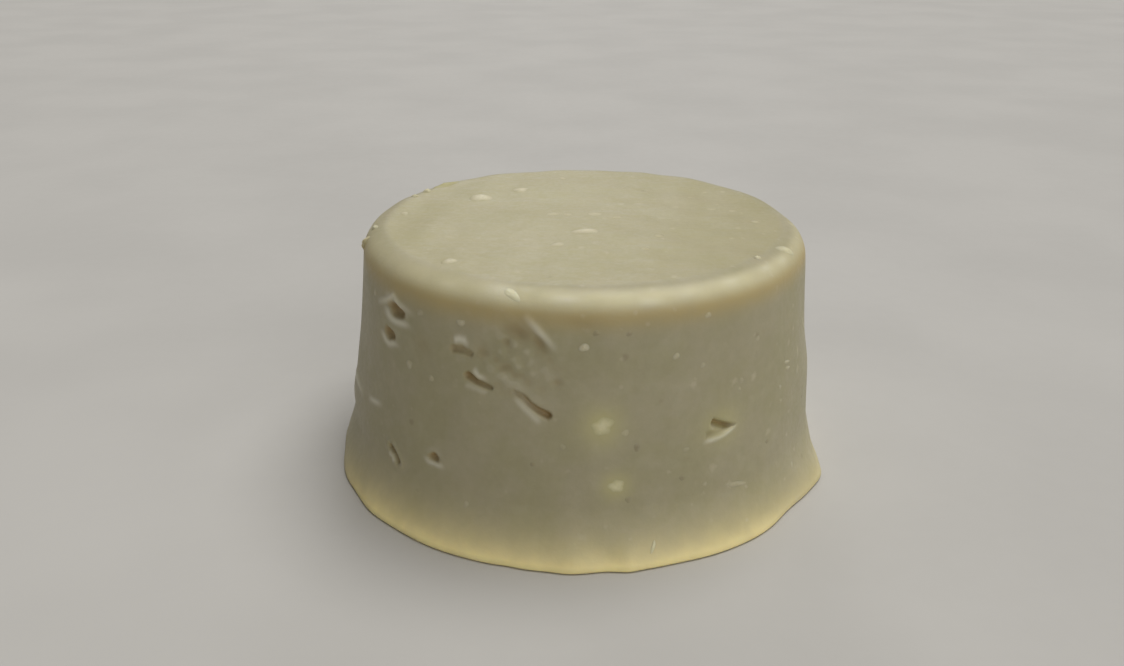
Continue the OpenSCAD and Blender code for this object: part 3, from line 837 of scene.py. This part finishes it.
# Wall grains: angle, height, then the same as on top
WALL_GRAINS = (
    (-89.3, 27.6, 1.3, 1.1, 0, 0.13, 0, 0.95), (-69.1, 25.8, 1.0, 0.9, 30, 0.08, 0, 0.55),
    (-132.5, 21.8, 1.5, 1.3, 10, 0.08, 0, 0.45), (-125.3, 21.1, 1.2, 1.0, 45, 0.06, 0, 0.35),
    (-148.7, 28.5, 1.1, 1.2, 0, 0.08, 0, 0.45), (-117.2, 29.1, 1.3, 1.0, 15, 0.10, 0, 0.55),
    (-128.7, 29.0, 1.4, 0.9, 35, 0.06, 0, 0.30), (-80.5, 17.0, 1.1, 1.0, 20, 0.05, 0, 0.35),
    (-93.7, 15.4, 1.0, 0.9, 0, 0.04, 0, 0.20), (-62.6, 24.1, 0.9, 0.8, 35, 0.05, 0, 0.25),
    (-33.4, 19.95, 1.8, 0.65, -8, 0.08, 0, 0.65), (-26.4, 19.9, 0.9, 2.2, 5, 0.06, 0, 0.50),
    (-18.5, 21.9, 4.8, 1.0, -50, 0.07, 0, 0.50), (-51.5, 20.7, 0.9, 0.9, 0, 0.04, 0, 0.22),
    (-52.2, 19.7, 0.8, 0.7, 45, 0.04, 0, 0.20), (-46.1, 25.3, 0.9, 0.8, 10, 0.05, 0, 0.30),
    (-61.2, 30.1, 1.0, 0.9, 20, 0.06, 0, 0.45), (-19.7, 13.5, 1.0, 0.9, 0, 0.05, 0, 0.35),
    (-37.0, 17.2, 0.9, 0.9, 30, 0.04, 0, 0.30), (-36.9, 15.3, 0.8, 1.0, 65, 0.04, 0, 0.28),
    (-62.2, 8.7, 0.9, 0.8, 15, 0.04, 0, 0.20), (-66.8, 13.8, 1.2, 0.8, 0, 0.04, 0, 0.15),
    (-115.0, 6.1, 1.1, 0.9, 70, 0.05, 0, 0.28), (-53.4, 7.2, 3.4, 0.9, -12, 0.06, 0.02, 0.38),
    (-32.0, 5.0, 1.1, 0.9, 40, 0.05, 0, 0.35), (-33.0, 19.05, 1.6, 0.6, -6, 0.08, 0, 0.60),
)
# Crystals of fat, and dark specks: the same as wall grains
STARS = ((-85.3, 17.95, 3.1, 2.4, 8, 0.07, 0, 0.78), (-82.3, 10.3, 2.2, 2.0, 40, 0.06, 0, 0.82))
SPECKS = (
    (-78.0, 15.1, 1.0, 1.2, 0, 0.04, 0, 0.36), (-79.8, 8.4, 1.0, 1.0, 20, 0.04, 0, 0.30),
    (-67.7, 10.2, 0.9, 0.8, 0, 0.04, 0, 0.30), (-86.8, 29.3, 0.8, 0.8, 30, 0.04, 0, 0.27),
    (-79.7, 29.1, 0.9, 0.8, 0, 0.04, 0, 0.27), (-100.0, 12.9, 0.7, 0.7, 15, 0.04, 0, 0.28),
    (-43.0, 11.0, 0.8, 0.8, 0, 0.04, 0, 0.28),
)
# Crumbs on the rim: angle, way round the rim's arc from the wall, then the same and how green they are
CRUMBS = (
    (150.0, 4.9, 1.5, 1.3, 20, 0.34, 0, 0.60, 0), (157.2, 5.0, 1.2, 1.1, 70, 0.28, 0, 0.50, 0),
    (140.0, 4.4, 6.6, 1.9, 3, 0.30, 0.03, 0.80, 1), (-172.0, 3.3, 1.4, 1.2, 30, 0.26, 0, 0.55, 0),
    (-168.0, 1.35, 2.1, 1.3, 80, 0.42, 0, 0.50, 0), (-38.3, 4.6, 1.1, 1.0, 30, 0.26, 0, 0.80, 0),
    (-25.0, 3.3, 3.4, 1.7, -48, 0.16, 0.08, 0.60, 0),
)
# The shaving on the rim is placed like the crumbs, and the sliver in the foot like a wall grain
SHAVING = ((-105.9, 2.9, 3.0, 1.3, -24, 0.12, -0.08, 1.0),)
SLIVER = ((-75.0, 2.45, 1.6, 0.55, 66, 0.14, 0, 0.9),)


class PuckOperator:
    """What the operators share: the sizes, the colours and a seeded dice."""
    bl_options = {"REGISTER", "UNDO"}
    seed = 1

    def execute(self, context):
        self.build(cake_sizes(context), context.scene.puck_colours, np.random.default_rng(self.seed))
        return {"FINISHED"}


class PUCK_OT_soap_cake(PuckOperator, bpy.types.Operator):
    """Builds the poured cake with its pits, ridges and flared foot"""
    bl_idname = "puck.soap_cake"
    bl_label = "Soap Cake"

    def build(self, cake, colours, dice):
        show(cake_mesh(cake), soap_material(colours), "soap_body")


class PUCK_OT_top_grains(PuckOperator, bpy.types.Operator):
    """Sets the pale grains in the top face"""
    bl_idname = "puck.top_grains"
    bl_label = "Top Grains"
    seed = 2

    def build(self, cake, colours, dice):
        mesh = top_grains(cake, "top_grain_set", TOP_GRAINS, dice)
        show(mesh, grain_material("top_grain", colours, colours.grain), "top_grains")


class PUCK_OT_wall_grains(PuckOperator, bpy.types.Operator):
    """Sets the pale grains in the wall and the foot"""
    bl_idname = "puck.wall_grains"
    bl_label = "Wall Grains"
    seed = 3

    def build(self, cake, colours, dice):
        mesh = side_grains(cake, "wall_grain_set", WALL_GRAINS, dice)
        show(mesh, grain_material("wall_grain", colours, colours.grain), "wall_grains")


class PUCK_OT_bloom_stars(PuckOperator, bpy.types.Operator):
    """Sets the two star-shaped crystals of fat in the wall"""
    bl_idname = "puck.bloom_stars"
    bl_label = "Bloom Stars"
    seed = 4

    def build(self, cake, colours, dice):
        mesh = side_grains(cake, "bloom_star_set", STARS, dice, lobes=0.10, fade=3.2)
        show(mesh, grain_material("fat_bloom", colours, colours.bloom), "bloom_stars")


class PUCK_OT_clay_specks(PuckOperator, bpy.types.Operator):
    """Sets the small dark specks in the wall"""
    bl_idname = "puck.clay_specks"
    bl_label = "Clay Specks"
    seed = 5

    def build(self, cake, colours, dice):
        mesh = side_grains(cake, "clay_speck_set", SPECKS, dice, deep=0.3, fade=2.0)
        show(mesh, grain_material("clay_speck", colours, colours.clay), "clay_specks")


class PUCK_OT_rim_shaving(PuckOperator, bpy.types.Operator):
    """Sticks the slanted shaving on the front of the rim"""
    bl_idname = "puck.rim_shaving"
    bl_label = "Rim Shaving"
    seed = 6

    def build(self, cake, colours, dice):
        mesh = side_grains(cake, "rim_shaving_flake", SHAVING, dice, cake.wall_top,
                           deep=0.3, lump=0.12, fade=1.2)
        show(mesh, grain_material("rim_shaving", colours, colours.crumb), "rim_shaving")


class PUCK_OT_rim_crumbs(PuckOperator, bpy.types.Operator):
    """Sticks the loose crumbs on the rim"""
    bl_idname = "puck.rim_crumbs"
    bl_label = "Rim Crumbs"
    seed = 7

    def build(self, cake, colours, dice):
        mesh = side_grains(cake, "rim_crumb_set", CRUMBS, dice, cake.wall_top, deep=0.3, lump=0.2)
        green = np.repeat([row[8] for row in CRUMBS], len(mesh.vertices) // len(CRUMBS))
        mesh.attributes.new("husk", "FLOAT", "POINT").data.foreach_set("value", green.astype(np.float32))
        show(mesh, grain_material("rim_crumb", colours, colours.crumb, colours.husk), "rim_crumbs")


class PUCK_OT_foot_sliver(PuckOperator, bpy.types.Operator):
    """Lodges the thin pale sliver in the front of the foot"""
    bl_idname = "puck.foot_sliver"
    bl_label = "Foot Sliver"
    seed = 8

    def build(self, cake, colours, dice):
        mesh = side_grains(cake, "foot_sliver_flake", SLIVER, dice, deep=0.3)
        show(mesh, grain_material("foot_sliver", colours, colours.crumb), "foot_sliver")


# -------- the stage


# In metres, but for the lens's sensor, which is in millimetres
LAMP_AIM = (0, 0, 0.016)
KEY_PLACE, FRONT_PLACE, BACK_PLACE = (0.10, 0.07, 0.42), (0.26, -0.46, 0.20), (-0.02, 0.55, 0.30)
KEY_SPREAD, FRONT_SPREAD, BACK_SPREAD = 42, 38, 20
FLOOR_RADIUS, FLOOR_SIDES = 3.0, 96
SENSOR = 36


def place_looking(name, data, place, aim):
    """Puts a lamp or a camera in the scene at a place, looking at its aim."""
    made = bpy.data.objects.new(name, data)
    made.location = place
    made.rotation_euler = (Vector(aim) - Vector(place)).to_track_quat("-Z", "Y").to_euler()
    bpy.context.scene.collection.objects.link(made)
    return made


def add_lamp(name, place, spread, power):
    """A soft white lamp, spread over some degrees of the sky, that shines evenly from a place's side."""
    lamp = bpy.data.lights.new(name, "SUN")
    lamp.angle = math.radians(spread)
    lamp.energy = power
    return place_looking(name, lamp, place, LAMP_AIM)


def floor_mesh():
    """A disc: a corner at FLOOR_RADIUS * (cos u, sin u, 0) for each u round it."""
    u = np.linspace(0, 2 * math.pi, FLOOR_SIDES, endpoint=False)
    points = FLOOR_RADIUS * np.stack([np.cos(u), np.sin(u), 0 * u], -1)
    mesh = bpy.data.meshes.new("floor")
    mesh.from_pydata(points, [], [range(FLOOR_SIDES)])
    return mesh


def floor_material(colours):
    """Plain pale matte floor with a very faint mottling."""
    made, nodes, shader = material("pale_floor")
    place = nodes.millimetres()
    darker = tuple(value * 0.94 for value in colours.floor)
    tone = nodes.mix(nodes.ramp(nodes.noise(place, 0.02), 0.3, 0.7), colours.floor, darker)
    finish_material(nodes, shader, tone, nodes.ramp(nodes.noise(place, 0.3), 0.3, 0.7, 0.75, 0.85),
                    nodes.noise(place, 0.8), 0.01 * MM)
    return made


class PUCK_OT_stage(bpy.types.Operator):
    """Sets the floor, the lamps, the sky and the camera"""
    bl_idname = "puck.stage"
    bl_label = "Stage"
    bl_options = {"REGISTER", "UNDO"}

    def execute(self, context):
        stage = context.scene.puck_stage
        floor = bpy.data.objects.new("floor", floor_mesh())
        floor.data.materials.append(floor_material(context.scene.puck_colours))
        context.scene.collection.objects.link(floor)
        add_lamp("key_lamp", KEY_PLACE, KEY_SPREAD, stage.key)
        add_lamp("front_lamp", FRONT_PLACE, FRONT_SPREAD, stage.front)
        add_lamp("back_lamp", BACK_PLACE, BACK_SPREAD, stage.back)
        world = bpy.data.worlds.new("pale_sky")
        world.use_nodes = True
        sky = world.node_tree.nodes["Background"].inputs
        sky["Color"].default_value = (1.0, 0.97, 0.92, 1)
        sky["Strength"].default_value = stage.sky
        context.scene.world = world
        context.scene.view_settings.view_transform = "Standard"
        lens = bpy.data.cameras.new("camera")
        lens.lens = stage.lens
        lens.sensor_width = SENSOR
        lens.clip_start = 0.01
        context.scene.camera = place_looking("camera", lens, stage.eye, stage.aim)
        return {"FINISHED"}


# -------- the add-on

PIECES = (PUCK_OT_soap_cake, PUCK_OT_top_grains, PUCK_OT_wall_grains, PUCK_OT_bloom_stars,
          PUCK_OT_clay_specks, PUCK_OT_rim_shaving, PUCK_OT_rim_crumbs, PUCK_OT_foot_sliver,
          PUCK_OT_stage)
SETTINGS = {"puck_sizes": PuckSizes, "puck_colours": PuckColours, "puck_stage": PuckStage}


class PUCK_PT_panel(bpy.types.Panel):
    """Lists the puck's settings and the operators that build it"""
    bl_idname = "PUCK_PT_panel"
    bl_label = "Soap Puck"
    bl_space_type = "VIEW_3D"
    bl_region_type = "UI"
    bl_category = "Soap Puck"

    def draw(self, context):
        for name, group_class in SETTINGS.items():
            box = self.layout.box()
            box.label(text=group_class.__doc__.rstrip("."))
            for setting in group_class.__annotations__:
                box.prop(getattr(context.scene, name), setting)
        column = self.layout.column(align=True)
        for operator in PIECES:
            column.operator(operator.bl_idname)


CLASSES = (*SETTINGS.values(), *PIECES, PUCK_PT_panel)


def register():
    """Registers the classes and adds the settings to every scene."""
    for cls in CLASSES:
        bpy.utils.register_class(cls)
    for name, group_class in SETTINGS.items():
        setattr(bpy.types.Scene, name, PointerProperty(type=group_class))


def unregister():
    """Removes the settings and the classes."""
    for name in SETTINGS:
        delattr(bpy.types.Scene, name)
    for cls in reversed(CLASSES):
        bpy.utils.unregister_class(cls)


def main():
    """Builds every piece and the stage."""
    register()
    for operator in PIECES:
        area, name = operator.bl_idname.split(".")
        if getattr(getattr(bpy.ops, area), name)() != {"FINISHED"}:
            raise RuntimeError(f"{operator.bl_label} was not built")
    bpy.context.view_layer.update()


if __name__ == "__main__":
    main()
